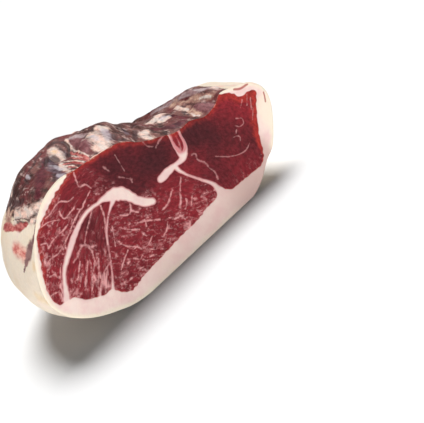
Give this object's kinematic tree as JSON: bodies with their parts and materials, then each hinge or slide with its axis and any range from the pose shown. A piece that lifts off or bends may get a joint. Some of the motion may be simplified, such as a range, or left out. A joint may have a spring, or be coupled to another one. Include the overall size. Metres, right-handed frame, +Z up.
{
  "type": "boneless iberian ham half",
  "caption": "Boneless cured ham cut across: marbled dark red muscles parted by fat seams, in a pale fat cover with a dried dark crust on top.",
  "frame": {"origin": "middle of the base that the ham rests on, at the bounding box's bottom centre", "axes": "+X along the long side of the cut, towards the narrow end; -Y the way the cut face looks; +Z up, from the fat side to the crusted side"},
  "size_m": [0.2428, 0.165, 0.1218],
  "materials": {
    "fat": "pinkish white cured fat, satin and slightly greasy, cream and dry on the skin side",
    "lean": "dark red marbled cured meat, moist on the cut, dried to a rough dark crust outside"
  },
  "bodies": {
    "root": {"fat_cover": "fat", "lean_main": "lean", "lean_side": "lean", "lean_tongue": "lean", "lean_wedge": "lean", "lean_sliver": "lean"}
  },
  "joints": []
}
